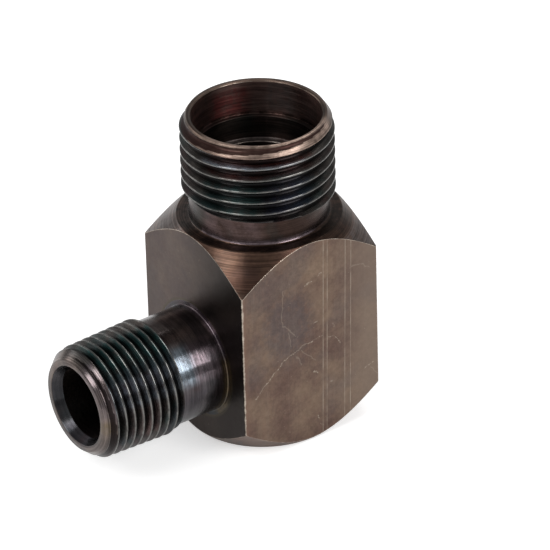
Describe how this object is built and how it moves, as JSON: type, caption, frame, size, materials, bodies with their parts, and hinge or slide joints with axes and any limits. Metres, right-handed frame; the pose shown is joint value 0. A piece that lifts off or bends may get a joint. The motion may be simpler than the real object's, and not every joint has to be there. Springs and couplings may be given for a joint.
{
  "type": "pipe elbow fitting",
  "caption": "Right-angle steel elbow from square bar: wide parallel-threaded port upward with a stepped mouth, narrow taper-threaded port to one side.",
  "frame": {"origin": "centre of the round face that the elbow stands on, on the wide port's axis", "axes": "+Z out of the wide port, -X out of the narrow port"},
  "size_m": [0.0446, 0.0238, 0.0486],
  "materials": {
    "blackened_steel": "black oxide over machined steel, satin, worn bright along the edges"
  },
  "bodies": {
    "root": {"elbow_body": "blackened_steel"}
  },
  "joints": []
}
